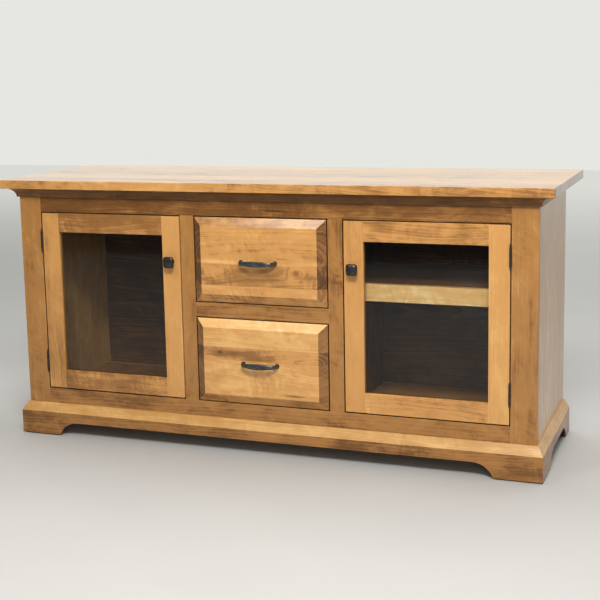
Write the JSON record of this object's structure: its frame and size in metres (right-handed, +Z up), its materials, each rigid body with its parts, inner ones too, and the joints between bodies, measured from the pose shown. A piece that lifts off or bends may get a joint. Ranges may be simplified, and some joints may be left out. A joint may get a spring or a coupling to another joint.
{
  "type": "console television cabinet",
  "caption": "Low wide wooden console cabinet with inset glazed doors at each side, a stack of raised-field drawers between them and a bracket-foot base.",
  "frame": {"origin": "on the floor, under the middle of the overall box", "axes": "+Z up, the front with the doors and drawers faces -Y, +X to the viewer's right"},
  "size_m": [1.61, 0.552, 0.77],
  "materials": {
    "frame_wood": "clear coat over a honey stain",
    "door_wood": "clear coat over a honey stain",
    "top_wood": "clear coat over a honey stain",
    "side_wood": "clear coat over a honey stain",
    "moulding_wood": "clear coat over a honey stain",
    "case_wood": "clear coat over a honey stain, inside the case",
    "drawer_wood": "clear coat over bare maple",
    "bronze": "dark oil-rubbed bronze",
    "glass": "clear float glass",
    "zinc": "zinc-plated steel",
    "catch_plastic": "brown moulded plastic",
    "glide_plastic": "black nylon"
  },
  "bodies": {
    "case": {"top_panel": "top_wood", "cove_front": "moulding_wood", "cove_sides": "moulding_wood", "base_front": "moulding_wood", "base_sides": "moulding_wood", "base_corner_blocks": "case_wood", "glides": "glide_plastic", "face_stile_left": "frame_wood", "face_stile_right": "frame_wood", "face_top_rail": "frame_wood", "face_bottom_rail": "frame_wood", "face_mullion_left": "frame_wood", "face_mullion_right": "frame_wood", "face_drawer_rail": "frame_wood", "side_panel_left": "side_wood", "side_panel_right": "side_wood", "partitions": "case_wood", "bottom_panel": "case_wood", "back_panel": "case_wood", "top_stretchers": "case_wood", "top_screws": "zinc", "shelf_pins": "zinc", "hinge_frame_leaves": "bronze", "hinge_pins": "bronze", "door_catches": "catch_plastic", "slide_case_rails": "zinc"},
    "left_door": {"left_door_latch_stile": "door_wood", "left_door_hinge_stile": "door_wood", "left_door_bottom_rail": "door_wood", "left_door_top_rail": "door_wood", "left_door_glass": "glass", "left_door_glass_stops": "door_wood", "left_door_knob": "bronze", "left_door_hinge_leaves": "bronze", "left_door_strike": "zinc"},
    "right_door": {"right_door_latch_stile": "door_wood", "right_door_hinge_stile": "door_wood", "right_door_bottom_rail": "door_wood", "right_door_top_rail": "door_wood", "right_door_glass": "glass", "right_door_glass_stops": "door_wood", "right_door_knob": "bronze", "right_door_hinge_leaves": "bronze", "right_door_strike": "zinc"},
    "upper_drawer": {"upper_drawer_front": "door_wood", "upper_drawer_pull": "bronze", "upper_drawer_sides": "drawer_wood", "upper_drawer_ends": "drawer_wood", "upper_drawer_bottom": "drawer_wood", "upper_drawer_slide_rails": "zinc"},
    "upper_slide_middle": {"upper_slide_middle_rails": "zinc"},
    "lower_drawer": {"lower_drawer_front": "door_wood", "lower_drawer_pull": "bronze", "lower_drawer_sides": "drawer_wood", "lower_drawer_ends": "drawer_wood", "lower_drawer_bottom": "drawer_wood", "lower_drawer_slide_rails": "zinc"},
    "lower_slide_middle": {"lower_slide_middle_rails": "zinc"},
    "shelf": {"shelf_nosing": "door_wood", "shelf_board": "case_wood"}
  },
  "joints": [
    {"name": "left_door_hinge", "type": "hinge", "parent": "case", "child": "left_door", "pos_m": [-0.6905, -0.2368, 0.4085], "axis": [0, 0, -1], "range_deg": [0, 170]},
    {"name": "right_door_hinge", "type": "hinge", "parent": "case", "child": "right_door", "pos_m": [0.6905, -0.2368, 0.4085], "axis": [0, 0, 1], "range_deg": [0, 170]},
    {"name": "upper_drawer_slide", "type": "slide", "parent": "case", "child": "upper_drawer", "axis": [0, -1, 0], "range_m": [0, 0.36]},
    {"name": "upper_middle_slide", "type": "slide", "parent": "case", "child": "upper_slide_middle", "axis": [0, -1, 0], "range_m": [0, 0.18]},
    {"name": "lower_drawer_slide", "type": "slide", "parent": "case", "child": "lower_drawer", "axis": [0, -1, 0], "range_m": [0, 0.36]},
    {"name": "lower_middle_slide", "type": "slide", "parent": "case", "child": "lower_slide_middle", "axis": [0, -1, 0], "range_m": [0, 0.18]},
    {"name": "shelf_lift", "type": "slide", "parent": "case", "child": "shelf", "axis": [0, 0, 1], "range_m": [0, 0.096]}
  ],
  "couplings": [
    {"joint": "upper_middle_slide", "follows": "upper_drawer_slide", "ratio": 0.5},
    {"joint": "lower_middle_slide", "follows": "lower_drawer_slide", "ratio": 0.5}
  ]
}
